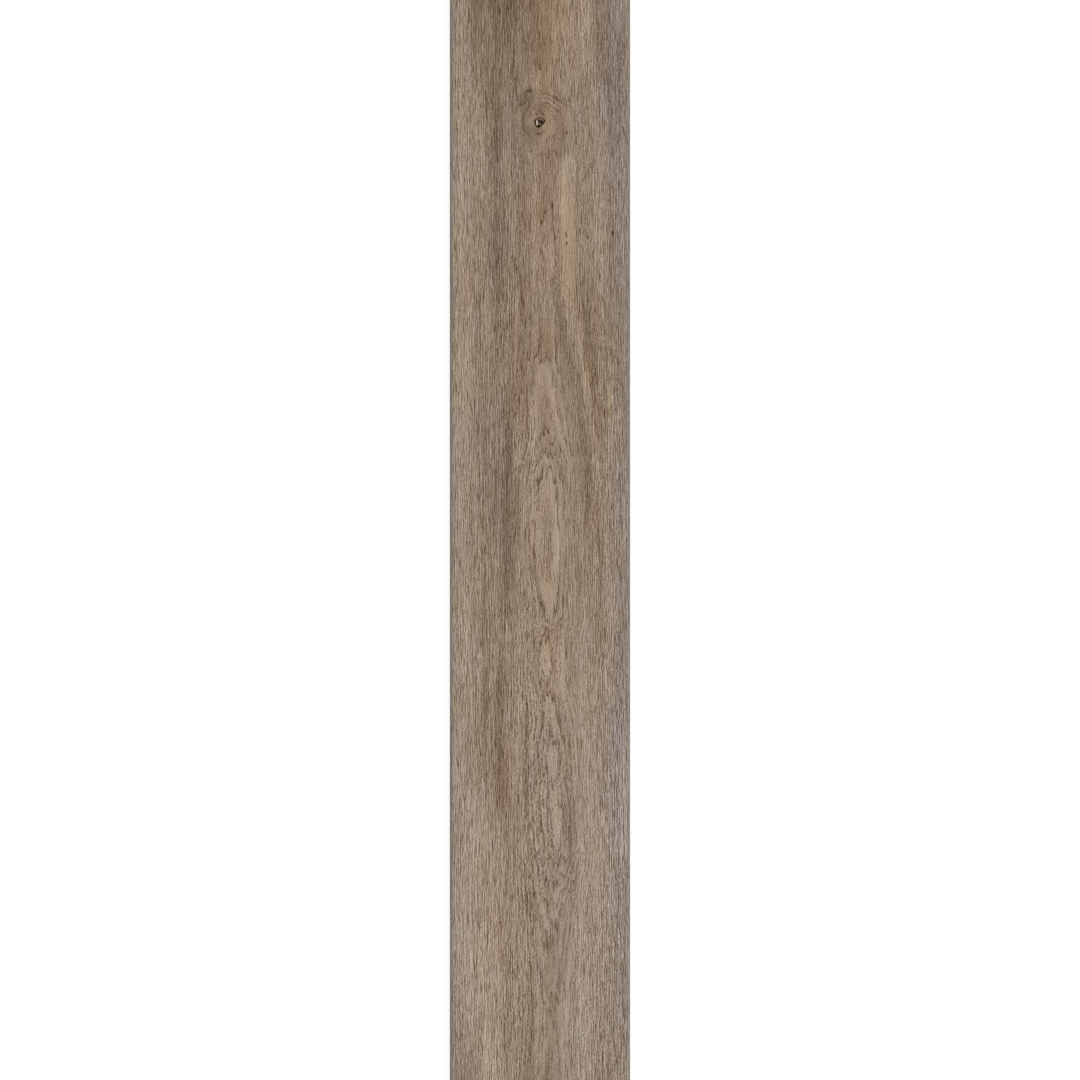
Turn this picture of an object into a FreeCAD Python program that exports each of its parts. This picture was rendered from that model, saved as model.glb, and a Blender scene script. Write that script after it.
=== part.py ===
import FreeCAD
import Part
import Sketcher
import os

# Wood look porcelain plank tile, in millimetres: one dry-pressed and fired slab.
# The wear face is up, with a shallow bevel on all four edges. The back is down: a flat rim
# around a shallow recess, crossed by ribs that key into the adhesive bed.
# Origin at the centre of the back's bearing plane, X across the plank, Y along it, Z up.

# Driving dimensions: name, size, what it measures
SIZES = [
    ("plank_width", 200.0, "across the plank, edge to edge"),
    ("plank_length", 1200.0, "along the plank, end to end"),
    ("plank_thickness", 9.0, "from the rib feet to the wear face"),
    ("bevel_width", 2.5, "face bevel, measured across the face"),
    ("bevel_drop", 1.0, "face bevel, measured down the wall"),
    ("back_arris", 1.0, "45 degree arris between wall and back"),
    ("rim_width", 10.0, "plain rim around the back recess, arris included"),
    ("key_depth", 0.5, "depth of the back recess between the ribs"),
    ("rib_crest", 2.5, "width of a rib's foot"),
    ("rib_flank", 0.6, "run of a rib's sloping flank"),
    ("pitch_across", 22.5, "wanted spacing of the lengthwise ribs"),
    ("pitch_along", 50.0, "wanted spacing of the crosswise ribs"),
]

# The recess mouth, and the ribs' own spacing: a whole number of equal cells in each direction
FIELD_ACROSS = "(Sizes.plank_width - 2 * Sizes.rim_width)"
FIELD_ALONG = "(Sizes.plank_length - 2 * Sizes.rim_width)"
CELLS_ACROSS = f"round({FIELD_ACROSS} / Sizes.pitch_across)"
CELLS_ALONG = f"round({FIELD_ALONG} / Sizes.pitch_along)"
CELL_ACROSS = f"({FIELD_ACROSS} / {CELLS_ACROSS})"
CELL_ALONG = f"({FIELD_ALONG} / {CELLS_ALONG})"

ORIGIN_POINT = (-1, 1)
HORIZONTAL_AXIS = -1


def make_sheet(doc):
    """The driving dimensions, one row each: name, number, meaning."""
    sheet = doc.addObject("Spreadsheet::Sheet", "Sizes")
    for row, (name, size, meaning) in enumerate(SIZES, start=1):
        sheet.set(f"A{row}", name)
        sheet.set(f"B{row}", str(size))
        sheet.set(f"C{row}", meaning)
        sheet.setAlias(f"B{row}", name)
    doc.recompute()
    return sheet


def origin_feature(body, role):
    return next(f for f in body.Origin.OriginFeatures if f.Role == role)


def new_sketch(body, name, plane, height="0"):
    """A sketch on one of the body's origin planes, raised along the plane's normal."""
    sketch = body.newObject("Sketcher::SketchObject", name)
    sketch.AttachmentSupport = [(origin_feature(body, plane), "")]
    sketch.MapMode = "FlatFace"
    sketch.setExpression("AttachmentOffset.Base.z", height)
    return sketch


def dimension(sketch, kind, name, expression, *points):
    """A named driving dimension, bound to an expression of the sheet's sizes."""
    start = 1.0
    index = sketch.addConstraint(Sketcher.Constraint(kind, *points, start))
    sketch.renameConstraint(index, name)
    sketch.setExpression(f"Constraints.{name}", expression)


def closed_outline(sketch, corners):
    """Straight lines from corner to corner, joined end to end. Returns their indices."""
    points = [FreeCAD.Vector(x, y, 0) for x, y in corners]
    ends = points[1:] + points[:1]
    lines = [sketch.addGeometry(Part.LineSegment(a, b), False) for a, b in zip(points, ends)]
    for line, following in zip(lines, lines[1:] + lines[:1]):
        sketch.addConstraint(Sketcher.Constraint("Coincident", line, 2, following, 1))
    return lines


def rectangle(body, name, width, length, height="0"):
    """A rectangle centred on the origin, level with the back plane or raised above it."""
    sketch = new_sketch(body, name, "XY_Plane", height)
    bottom, right, top, left = closed_outline(sketch, [(-1, -1), (1, -1), (1, 1), (-1, 1)])
    for line in (bottom, top):
        sketch.addConstraint(Sketcher.Constraint("Horizontal", line))
    for line in (left, right):
        sketch.addConstraint(Sketcher.Constraint("Vertical", line))
    sketch.addConstraint(Sketcher.Constraint("Symmetric", bottom, 1, right, 2, *ORIGIN_POINT))
    dimension(sketch, "DistanceX", "width", width, bottom, 1, bottom, 2)
    dimension(sketch, "DistanceY", "length", length, right, 1, right, 2)
    return sketch


def inset(by):
    """The plank's outline, drawn in on every side by a size of the sheet."""
    return f"Sizes.plank_width - 2 * {by}", f"Sizes.plank_length - 2 * {by}"


def layer(body, name, lower, upper):
    """A straight-sided layer of the slab between two outlines."""
    loft = body.newObject("PartDesign::AdditiveLoft", name)
    loft.Profile = lower
    loft.Sections = [upper]
    loft.Ruled = True
    return loft


def press_slab(body):
    """The plain slab in three layers: back arris, wall, face bevel."""
    shoulder = "Sizes.plank_thickness - Sizes.bevel_drop"
    back = rectangle(body, "back_outline", *inset("Sizes.back_arris"))
    low = rectangle(body, "wall_foot", *inset("0"), "Sizes.back_arris")
    high = rectangle(body, "wall_head", *inset("0"), shoulder)
    face = rectangle(body, "face_outline", *inset("Sizes.bevel_width"), "Sizes.plank_thickness")
    layer(body, "arris_layer", back, low)
    layer(body, "wall_layer", low, high)
    layer(body, "bevel_layer", high, face)


def press_recess(body):
    """The back's shallow recess, its four sides sloping as the ribs do."""
    mouth = rectangle(body, "recess_mouth", FIELD_ACROSS, FIELD_ALONG)
    floor_sides = [f"{side} - 2 * Sizes.rib_flank" for side in (FIELD_ACROSS, FIELD_ALONG)]
    floor = rectangle(body, "recess_floor", *floor_sides, "Sizes.key_depth")
    recess = body.newObject("PartDesign::SubtractiveLoft", "back_recess")
    recess.Profile = mouth
    recess.Sections = [floor]
    recess.Ruled = True


def rib_section(body, name, plane, field, cell):
    """A rib's section: foot on the bearing plane, root on the recess floor, flanks sloping.
    It is placed one cell in from the recess mouth."""
    sketch = new_sketch(body, name, plane)
    foot, far, root, near = closed_outline(sketch, [(-3, 0), (-2, 0), (-1, 1), (-4, 1)])
    sketch.addConstraint(Sketcher.Constraint("PointOnObject", foot, 1, HORIZONTAL_AXIS))
    for line in (foot, root):
        sketch.addConstraint(Sketcher.Constraint("Horizontal", line))
    dimension(sketch, "DistanceX", "crest", "Sizes.rib_crest", foot, 1, foot, 2)
    dimension(sketch, "DistanceY", "rise", "Sizes.key_depth", far, 1, far, 2)
    dimension(sketch, "DistanceX", "far_flank", "Sizes.rib_flank", far, 1, far, 2)
    dimension(sketch, "DistanceX", "near_flank", "Sizes.rib_flank", near, 1, near, 2)
    first = f"{field} / 2 - {cell} + Sizes.rib_crest / 2"
    dimension(sketch, "DistanceX", "first_rib", first, foot, 1, *ORIGIN_POINT)
    return sketch


def press_ribs(body, name, plane, axis, field, cell, cells, run):
    """One set of parallel ribs, from rim to rim, at equal spacing across the recess."""
    rib = body.newObject("PartDesign::Pad", f"{name}_rib")
    rib.Profile = rib_section(body, f"{name}_section", plane, field, cell)
    rib.SideType = "Symmetric"
    # Both ends run on into the rim, as far as its middle.
    rib.setExpression("Length", f"{run} + Sizes.rim_width")
    body.Document.recompute()
    pattern = body.newObject("PartDesign::LinearPattern", f"{name}_ribs")
    pattern.Originals = [rib]
    pattern.Direction = (origin_feature(body, axis), [""])
    pattern.Mode = "Spacing"
    pattern.setExpression("Offset", cell)
    pattern.setExpression("Occurrences", f"{cells} - 1")
    body.Tip = pattern
    body.Document.recompute()


def make_plank(doc):
    """The whole tile: one body, pressed as one piece."""
    body = doc.addObject("PartDesign::Body", "plank_tile")
    body.Label = "plank_tile"
    press_slab(body)
    press_recess(body)
    press_ribs(body, "lengthwise", "XZ_Plane", "X_Axis",
               FIELD_ACROSS, CELL_ACROSS, CELLS_ACROSS, FIELD_ALONG)
    press_ribs(body, "crosswise", "YZ_Plane", "Y_Axis",
               FIELD_ALONG, CELL_ALONG, CELLS_ALONG, FIELD_ACROSS)
    return body


def check(doc, bodies):
    """Stops before anything is written if a feature failed or a shape isn't a closed solid."""
    for feature in doc.Objects:
        if {"Invalid", "Error"} & set(feature.State):
            raise RuntimeError(f"{feature.Name} failed: {feature.State}")
    for body in bodies:
        shape = body.Shape
        if shape.isNull() or not shape.isValid() or len(shape.Solids) != 1:
            raise RuntimeError(f"{body.Label} isn't one valid solid")


def main():
    doc = FreeCAD.newDocument("plank_tile_document")
    make_sheet(doc)
    bodies = [make_plank(doc)]
    doc.recompute()
    check(doc, bodies)
    os.makedirs("parts", exist_ok=True)
    for body in bodies:
        body.Shape.exportStep(f"parts/{body.Label}.step")
        box = body.Shape.BoundBox
        print(f"{body.Label}: {box.XLength:.2f} x {box.YLength:.2f} x {box.ZLength:.2f} mm, "
              f"{body.Shape.Volume / 1e6:.4f} litres, {len(body.Shape.Faces)} faces")


main()
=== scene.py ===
import math

import bpy
import numpy as np
from bpy.props import FloatProperty, FloatVectorProperty, IntProperty, PointerProperty
from bpy.types import NodeSocket, Operator, Panel, PropertyGroup
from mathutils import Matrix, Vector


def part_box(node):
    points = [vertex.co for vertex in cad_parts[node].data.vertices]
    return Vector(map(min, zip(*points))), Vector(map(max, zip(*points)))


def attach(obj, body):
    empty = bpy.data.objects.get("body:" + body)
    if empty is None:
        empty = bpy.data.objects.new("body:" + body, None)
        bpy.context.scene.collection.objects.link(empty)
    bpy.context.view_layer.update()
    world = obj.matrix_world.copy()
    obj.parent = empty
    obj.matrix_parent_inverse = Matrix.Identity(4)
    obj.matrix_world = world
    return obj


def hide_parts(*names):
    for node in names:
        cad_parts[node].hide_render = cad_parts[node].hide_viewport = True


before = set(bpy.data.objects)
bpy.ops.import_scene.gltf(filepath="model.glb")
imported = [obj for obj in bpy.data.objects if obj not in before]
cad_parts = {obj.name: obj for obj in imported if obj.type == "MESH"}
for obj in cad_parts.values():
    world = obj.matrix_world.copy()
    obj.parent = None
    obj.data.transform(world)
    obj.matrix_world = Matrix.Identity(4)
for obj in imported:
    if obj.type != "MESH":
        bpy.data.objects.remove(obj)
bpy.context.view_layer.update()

# A wood look porcelain plank tile: one pressed slab with a bevelled, oak printed face and a ribbed back.
# Metres, in the CAD model's own frame: X across the plank, Y along it to its head end, Z up.

bl_info = {
    "name": "Oak Look Plank Tile",
    "version": (1, 0, 0),
    "blender": (4, 5, 0),
    "location": "3D View > Sidebar > Plank Tile",
    "description": "Makes a porcelain plank tile with an oak print, and a plain studio to see it in",
    "category": "Object",
}

PLANK_NODE = "plank_tile"
HALF_WIDTH, HALF_LENGTH, FACE_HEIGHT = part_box(PLANK_NODE)[1]
MM = 0.001

# Growth figure of the printed oak, in millimetres from the middle of the face
# Where the log's heart lies under the face: (along, across)
HEART_LINE = [
    (600, 2), (200, 2), (180, 4), (155, 7), (111, 9), (81, 9), (66, 7.4), (0, 7), (-33, 7.4), (-55, 9.5),
    (-86, 11), (-115, 9), (-140, 7), (-170, 9), (-200, 13), (-260, 14), (-310, 18), (-342, 19.4), (-378, 15),
    (-428, 10), (-503, 11), (-600, 8),
]
# How deep it lies: (along, depth). Each shallow place shows as an island, each deep one as a saddle.
HEART_DEPTH = [
    (600, 45), (520, 44.2), (464, 43), (420, 41.8), (300, 41.6), (240, 41.6), (215, 41.4), (200, 40.8),
    (192, 39.8), (180, 39.4), (160, 38.9), (140, 38.6), (119, 38.2), (108, 36.6), (98, 35.6), (81, 33),
    (66, 31.5), (44, 30.9), (0, 29.5), (-33, 29.8), (-55, 31.1), (-70, 32), (-92, 33), (-98, 35.6),
    (-105, 36.6), (-114, 35.6), (-140, 35.2), (-161, 35.6), (-169, 36.5), (-180, 35.6), (-205, 34.8),
    (-228, 33), (-247, 32.4), (-262, 33), (-267, 33.8), (-273, 33), (-310, 32.3), (-342, 33), (-354, 35.6),
    (-378, 38.2), (-400, 40.8), (-428, 43.4), (-503, 46), (-520, 47), (-539, 46), (-600, 44),
]
# How strongly the growth lines show near the heart: (along, share)
FIGURE_SHARE = [
    (600, 0.25), (290, 0.25), (224, 0.3), (207, 1), (196, 1), (180, 0.3), (135, 0.3), (120, 1), (-90, 1),
    (-120, 0.8), (-380, 0.8), (-420, 0.35), (-600, 0.3),
]
# How thickly small dark hooks stand near the heart: (along, share)
HOOK_SHARE = [
    (600, 0), (120, 0), (105, 0.5), (85, 0), (-85, 0), (-105, 0.8), (-240, 1), (-370, 1), (-430, 0.3),
    (-600, 0),
]
# Radius of the ring that ends the middle island
ISLAND_RING = 33.0

# Knot, in radii from its middle: the pale fleck's middle and reach, and those of the black blots
KNOT_FLECK = ((-0.54, -0.06), (0.15, 0.5))
KNOT_BLOTS = [((-0.2, 0.24), (0.26, 0.24)), ((0.32, 0.02), (0.32, 0.34)), ((-0.16, -0.66), (0.17, 0.36)),
              ((0.54, -0.3), (0.16, 0.2)), ((0.96, 0.4), (0.2, 0.22))]

# Strokes of shade on the print, from head to foot: (levels of 255, half width, edge, path of (along, across))
SOFT, CRISP = 2, 6
SHADE_STROKES = {
    "pale_right_rim": (3, 9, SOFT, [(1400, 94), (-1400, 94)]),
    "pale_left_edge": (9, 12, SOFT, [(1400, -86), (-1400, -86)]),
    "dark_head": (-15, 26, SOFT, [(1000, -30), (560, -32), (440, -40)]),
    "pale_right_head": (7, 22, SOFT, [(1000, 40), (600, 40), (360, 46)]),
    "dark_head_corner": (-13, 16, SOFT, [(1000, -80), (600, -80), (500, -80)]),
    "dark_head_heart": (-5, 30, SOFT, [(1000, 0), (560, 4), (420, 4)]),
    "dark_head_line": (-9, 6, SOFT, [(900, -47), (520, -49), (420, -50)]),
    "dark_head_thread": (-9, 4, SOFT, [(800, -32), (600, -33), (530, -34)]),
    "pale_head_line": (7, 5, SOFT, [(800, 49), (600, 50), (510, 48)]),
    "dark_left_head": (-9, 6, SOFT, [(760, -71), (580, -71), (510, -70)]),
    "dark_right_head": (-9, 9, SOFT, [(700, 66), (580, 66), (470, 72)]),
    "dark_head_right": (-7, 8, SOFT, [(660, 40), (585, 40), (545, 40)]),
    "dark_right_edge": (-9, 8, SOFT, [(600, 88), (500, 88), (400, 88)]),
    "dark_high_right": (-8, 7, SOFT, [(575, 40), (525, 40), (475, 40)]),
    "dark_high_left": (-6, 8, SOFT, [(575, -27), (540, -27), (505, -27)]),
    "brown_head": (-3, 5, SOFT, [(570, -2), (540, -2), (510, -3)]),
    "dark_head_side": (-7, 12, SOFT, [(560, -56), (450, -56), (380, -56)]),
    "pale_over_eye": (9, 10, SOFT, [(528, -4), (509, -4), (497, -2)]),
    "dark_over_eye": (-8, 6, SOFT, [(525, -25), (505, -25), (485, -24)]),
    "dark_band_neck": (-11.5, 8, SOFT, [(520, -50), (340, -48), (180, -48)]),
    "under_eye": (-7, 9, SOFT, [(520, 6), (430, 8), (320, 11)]),
    "right_of_knot": (-13, 6, SOFT, [(505, 22), (460, 24), (410, 20)]),
    "pale_left_shoulder": (7, 8, SOFT, [(505, -67), (440, -67), (380, -67)]),
    "over_knot": (-10, 7, SOFT, [(504, -13), (488, -13), (472, -11)]),
    "eye_smudge": (-11, 7, SOFT, [(503, -15), (487, -17), (464, -16)]),
    "below_knot": (-9, 11, SOFT, [(500, -18), (400, -20), (290, -20)]),
    "dark_left_of_eye": (-7, 8, SOFT, [(495, -41), (460, -41), (425, -42)]),
    "knot_smoke": (-14, 4.5, SOFT, [(482, 0), (474, 0), (466, 0)]),
    "eye_arc_left": (-24, 1.6, SOFT, [(480, -11), (470, -16), (457, -17), (444, -11)]),
    "eye_arc_far_left": (-9, 2, SOFT, [(478, -27), (462, -29), (440, -29), (425, -26)]),
    "eye_pale_right": (8, 5, SOFT, [(476, 12), (461, 12), (446, 12)]),
    "eye_under_left": (-12, 7, SOFT, [(463, -11), (448, -10), (433, -8)]),
    "eye_far_right": (-8, 3.5, SOFT, [(462, 39), (443, 39), (425, 38)]),
    "pale_stripe": (3, 10, CRISP, [(460, 31), (400, 29), (310, 30)]),
    "pale_right_streak": (9, 6, SOFT, [(460, 66), (350, 66), (260, 70)]),
    "knot_beard": (-17, 4, SOFT, [(460, -1), (453, -1), (446, -1)]),
    "eye_pale_below": (7, 4, SOFT, [(458, 6), (443, 5), (428, 4)]),
    "stripe_edge": (-11, 1.6, SOFT, [(450, 41), (390, 41), (330, 41.5), (280, 41)]),
    "pale_below_eye": (6, 8, SOFT, [(448, -13), (420, -13), (385, -13)]),
    "eye_dot_far": (-16, 1.4, SOFT, [(444, 39), (441, 39), (438, 39)]),
    "pale_stripe_head": (8, 7, SOFT, [(435, 20), (395, 22), (355, 26)]),
    "pale_heart": (1, 6, SOFT, [(360, 6), (290, 4), (220, 0)]),
    "dark_band_knee": (-8, 5, SOFT, [(350, -41), (305, -42), (250, -42)]),
    "dark_stripe_foot": (-4, 5, SOFT, [(345, 36), (300, 37), (255, 37)]),
    "dark_by_neck": (-6, 7, SOFT, [(345, -27), (300, -27), (260, -27)]),
    "dark_outside_slant": (-14, 7, SOFT, [(330, 48), (260, 51), (200, 57), (130, 64), (70, 67)]),
    "streak_by_heart": (-16, 1.2, SOFT, [(318, -14), (304, -14), (290, -14)]),
    "dark_by_heart": (-14, 4, SOFT, [(310, -20), (272, -20), (235, -21)]),
    "dark_inside_slant": (-15, 6, SOFT, [(310, 18), (240, 25), (190, 35), (110, 47), (40, 53), (-20, 56)]),
    "dark_right_knee": (-8, 8, SOFT, [(310, 92), (220, 92), (130, 92)]),
    "pale_left_neck": (6, 7, SOFT, [(305, -53), (260, -53), (210, -53)]),
    "dark_by_arch": (-10, 7, SOFT, [(290, -22), (190, -24), (90, -27)]),
    "pale_slant_head": (6, 5, SOFT, [(288, 29), (260, 29), (232, 30)]),
    "dark_band_upper": (-6, 15, SOFT, [(280, -46), (160, -49), (-20, -53)]),
    "pale_slant": (10, 3, SOFT, [(280, 36), (200, 45), (150, 53), (100, 62), (40, 66)]),
    "over_arch": (-7, 18, SOFT, [(270, 0), (222, 0), (192, 2)]),
    "dark_band_bend": (-8, 6, SOFT, [(262, -41), (220, -40), (182, -38)]),
    "dome_top": (-8, 5.5, SOFT, [(240, 11), (212, 11), (184, 11)]),
    "dome_left": (-9, 5, SOFT, [(214, -11), (188, -10), (162, -10)]),
    "arch_left": (1, 6, SOFT, [(212, 0), (170, -4), (130, -9), (75, -12)]),
    "arch_line_left": (-9, 1.6, SOFT, [(212, 5), (187, -6), (169, -12), (141, -13.5), (95, -16)]),
    "arch_line_right": (-12, 1.6, SOFT, [
        (210, 4), (189, 12.5), (167, 20.5), (147, 27), (128, 38), (100, 43)]),
    "arch_right": (6, 5, SOFT, [(205, 10), (165, 14), (130, 19), (85, 26)]),
    "pale_right_edge": (7, 5, SOFT, [(200, 79), (130, 81), (50, 82)]),
    "dark_band_middle": (-19.5, 7, SOFT, [(190, -33), (80, -35), (0, -37), (-130, -39)]),
    "dark_left_middle": (-3, 5, SOFT, [(180, -64), (80, -64), (-20, -63)]),
    "under_arch": (-9, 6, SOFT, [(178, 0), (142, 0), (106, 1)]),
    "pale_dome_foot": (7, 5, SOFT, [(150, -11), (124, -11), (98, -11)]),
    "pale_by_band": (8, 5, SOFT, [(135, -43), (100, -43), (65, -43)]),
    "island_head": (11, 6, SOFT, [(100, 10), (65, 10), (30, 10)]),
    "dark_by_island": (-15, 3.5, SOFT, [(85, -24), (30, -25), (-30, -23)]),
    "island_right": (14, 4.5, SOFT, [(50, 18), (5, 19), (-45, 18)]),
    "island_left": (5, 5, SOFT, [(50, -3), (10, -3), (-25, 0)]),
    "dark_low_slant": (-8, 5, SOFT, [(40, 58), (-30, 69), (-90, 68)]),
    "left_of_island": (-5, 3.5, SOFT, [(30, -15), (-25, -7), (-60, 1), (-110, 8)]),
    "pale_right_line": (9, 4, SOFT, [(10, 75), (-90, 76), (-220, 76)]),
    "pale_right_foot": (11, 22, SOFT, [(0, 54), (-200, 56), (-400, 58), (-800, 60)]),
    "island_left_line": (-14, 1.4, SOFT, [
        (-12, -14), (-31, -11), (-47, -4), (-64, 3), (-88, 11), (-100, 13)]),
    "dark_left_lower": (-9, 5, SOFT, [(-15, -62), (-140, -62), (-290, -60)]),
    "island_foot": (4, 7, SOFT, [(-35, 8), (-70, 10), (-100, 11)]),
    "island_right_line": (-6, 1.4, SOFT, [(-45, 25), (-68, 21), (-84, 15), (-100, 12)]),
    "dark_right_low": (-8, 9, SOFT, [(-65, 76), (-140, 76), (-210, 73)]),
    "pale_left_of_island": (6, 5, SOFT, [(-70, -20), (-115, -20), (-150, -19)]),
    "right_tongue": (7, 6, SOFT, [(-95, 22), (-140, 24), (-190, 26)]),
    "pale_left_side": (7, 7, SOFT, [(-95, -67), (-140, -67), (-190, -67)]),
    "pale_tongues": (10, 7, SOFT, [(-105, 13), (-140, 13), (-180, 13)]),
    "dark_band_foot": (-15, 9, SOFT, [(-110, -40), (-230, -46), (-330, -41)]),
    "left_tongue": (2, 4, SOFT, [(-110, 5), (-140, 5), (-170, 4)]),
    "pale_tongue_roots": (5, 22, SOFT, [(-140, 3), (-230, 3), (-320, 3)]),
    "dark_by_right_tongue": (-5, 11, SOFT, [(-150, 60), (-235, 61), (-310, 61)]),
    "by_tongues": (-15, 4, SOFT, [(-170, -16), (-235, -15), (-310, -18)]),
    "pale_left_patch": (6, 10, SOFT, [(-185, -60), (-220, -60), (-255, -60)]),
    "pale_right_side": (9, 8, SOFT, [(-190, 93), (-270, 93), (-390, 93)]),
    "small_tongue": (5, 4, SOFT, [(-220, 14), (-250, 14), (-275, 14)]),
    "pale_left_knee": (6, 7, SOFT, [(-250, -67), (-300, -67), (-350, -67)]),
    "pale_left_foot": (9, 15, SOFT, [(-250, -72), (-340, -72), (-540, -74)]),
    "smooth_tongue": (10, 5.5, CRISP, [(-260, 18), (-310, 20), (-350, 20)]),
    "right_of_tongue": (-10, 5, SOFT, [(-260, 32), (-300, 34), (-400, 37), (-440, 35)]),
    "pale_left_lower": (6, 10, SOFT, [(-260, -54), (-400, -54), (-540, -54)]),
    "heart_foot": (1, 18, SOFT, [(-310, -4), (-400, 0), (-540, 6)]),
    "pale_foot_heart": (4, 26, SOFT, [(-340, 0), (-420, 0), (-600, 0), (-660, 0)]),
    "upper_vee_left": (-17, 1.7, SOFT, [(-350, -17), (-409, -15.5), (-417, -11), (-421, -4), (-442, 6)]),
    "dark_vee": (-5, 5, SOFT, [(-370, -16), (-430, 2), (-480, 14)]),
    "upper_vee_right": (-17, 1.7, SOFT, [(-370, 7), (-414, 8), (-423, 12), (-428, 18), (-446, 24)]),
    "dark_left_vee": (-8, 8, SOFT, [(-380, -13), (-420, -13), (-460, -13)]),
    "pale_foot_line": (8, 3.5, SOFT, [(-410, 44), (-480, 44), (-580, 43)]),
    "foot_vee_right": (-12, 1.7, SOFT, [(-412, 36), (-459, 27.5), (-484, 23), (-520, 17)]),
    "pale_left_base": (10, 20, SOFT, [(-420, -64), (-560, -62), (-800, -62)]),
    "foot_vee_left": (-14, 1.7, SOFT, [(-428, -16), (-450, -7), (-466, 0), (-500, 6), (-520, 9)]),
    "dark_foot_heart": (-7, 6, SOFT, [(-430, 12), (-500, 12), (-620, 9), (-700, 9)]),
    "dark_foot_right": (-4, 9, SOFT, [(-430, 42), (-500, 38), (-580, 30)]),
    "dark_foot_streak": (-19, 4.5, SOFT, [(-440, -13), (-520, -11), (-700, -12)]),
    "dark_right_foot": (-8, 8, SOFT, [(-440, 69), (-560, 69), (-800, 69)]),
    "pale_foot_streak": (9, 5, SOFT, [(-450, 29), (-510, 29), (-580, 28)]),
    "dark_left_corner": (-13, 14, SOFT, [(-510, -84), (-640, -82), (-800, -82)]),
    "pale_left_corner": (9, 5, SOFT, [(-520, -58), (-580, -58), (-700, -58)]),
}
# Strokes of warmth, the same way: levels that red gains on blue, so above nought is tan and below it grey
WARMTH_STROKES = {
    "grey_left_edge": (-5, 5, SOFT, [(1400, -98), (-1400, -98)]),
    "tan_head": (10, 20, SOFT, [(900, 8), (560, 8), (420, 6)]),
    "tan_head_right": (3, 12, SOFT, [(900, 40), (560, 40), (440, 40)]),
    "grey_right_edge": (-9, 14, SOFT, [(900, 92), (480, 88), (250, 94), (0, 94), (-250, 90), (-900, 92)]),
    "grey_right_head": (-6, 14, SOFT, [(660, 78), (480, 78), (340, 76)]),
    "grey_left_of_eye": (-4, 13, SOFT, [(515, -22), (480, -23), (420, -23)]),
    "red_over_knot": (5, 6, SOFT, [(508, 5), (500, 5), (492, 5)]),
    "tan_eye": (6, 19, SOFT, [(505, 0), (464, 1), (424, 0)]),
    "grey_over_knot": (-6, 14, SOFT, [(501, -4), (487, -2), (473, -2)]),
    "grey_band_neck": (-2.5, 8, SOFT, [(500, -48), (340, -48), (200, -46)]),
    "grey_streak": (-6, 4, SOFT, [(470, -28), (420, -28), (370, -29)]),
    "grey_under_knot": (-5, 9, SOFT, [(462, -5), (445, -4), (428, -4)]),
    "tan_below_knot": (5, 22, SOFT, [(460, -2), (350, 0), (230, 0)]),
    "tan_stripe": (6, 12, SOFT, [(450, 26), (330, 30), (220, 34)]),
    "tan_left_neck": (4, 10, SOFT, [(380, -82), (270, -82), (140, -82)]),
    "tan_by_arch": (5, 9, SOFT, [(300, -28), (230, -27), (130, -18), (80, -18)]),
    "tan_slant": (6, 7, SOFT, [(290, 40), (210, 47), (130, 62), (70, 66)]),
    "tan_outside_slant": (5, 6, SOFT, [(290, 60), (240, 62), (190, 66)]),
    "tan_arch": (4, 16, SOFT, [(270, 8), (200, 4), (120, 12), (80, 12)]),
    "tan_right_neck": (6, 10, SOFT, [(250, 80), (180, 80), (100, 80)]),
    "tan_over_dome": (3.5, 12, SOFT, [(245, 10), (220, 10), (195, 10)]),
    "grey_left_middle": (-2, 22, SOFT, [(180, -60), (80, -62), (0, -60)]),
    "grey_band": (-4, 8, SOFT, [(170, -35), (60, -36), (-90, -39)]),
    "tan_right_middle": (3, 16, SOFT, [(140, 58), (50, 58), (-40, 58)]),
    "tan_middle": (2, 34, SOFT, [(130, 0), (-20, 0), (-220, 8)]),
    "tan_island_head": (3, 6, SOFT, [(90, 8), (50, 8), (20, 8)]),
    "tan_island_foot": (2, 8, SOFT, [(10, 14), (-40, 12), (-90, 11)]),
    "tan_left_streak": (4, 4, SOFT, [(0, -58), (-60, -58), (-120, -58)]),
    "tan_tongues": (4, 12, SOFT, [(-85, 12), (-140, 16), (-195, 18)]),
    "grey_left_foot": (-3, 12, SOFT, [(-150, -84), (-400, -84), (-900, -84)]),
    "grey_right_middle": (-6, 12, SOFT, [(-150, 84), (-260, 84), (-360, 84)]),
    "grey_right_foot": (-2.5, 30, SOFT, [(-180, 50), (-400, 40), (-900, 50)]),
    "grey_tongues": (-2, 12, SOFT, [(-190, 10), (-235, 10), (-285, 12)]),
    "brown_patch": (4, 14, SOFT, [(-190, -36), (-250, -38), (-320, -44)]),
    "tan_left_foot": (2, 26, SOFT, [(-200, -42), (-400, -40), (-900, -40)]),
    "tan_left_patch": (3, 12, SOFT, [(-380, -56), (-430, -52), (-480, -50)]),
}
# Strokes of calm, the same way: the share by which fibres and pores fade
CALM_STROKES = {
    "calm_stripe": (0.55, 9.5, CRISP, [(460, 31), (390, 31), (240, 34)]),
    "calm_stripe_middle": (0.4, 9, CRISP, [(390, 30), (340, 31), (270, 33)]),
    "calm_dome": (0.5, 9, SOFT, [(205, 4), (165, 4), (120, 4)]),
    "calm_island": (0.5, 8, SOFT, [(85, 9), (50, 9), (10, 9)]),
}
# Arcs over the knot: (levels of 255, radius, half width, middle angle, half angle), the angles in degrees
EYE_ARCS = [
    (-16, 31.5, 1.6, 62, 32), (8, 28.6, 1.4, 62, 26), (-13, 26.4, 1.2, 66, 24), (13, 24.2, 1.4, 62, 26),
    (-17, 21.6, 1.5, 64, 36), (-10, 17.5, 1.4, 78, 22), (-11, 27.5, 1.5, 128, 22), (-9, 34.5, 1.4, 20, 18),
]
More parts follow.
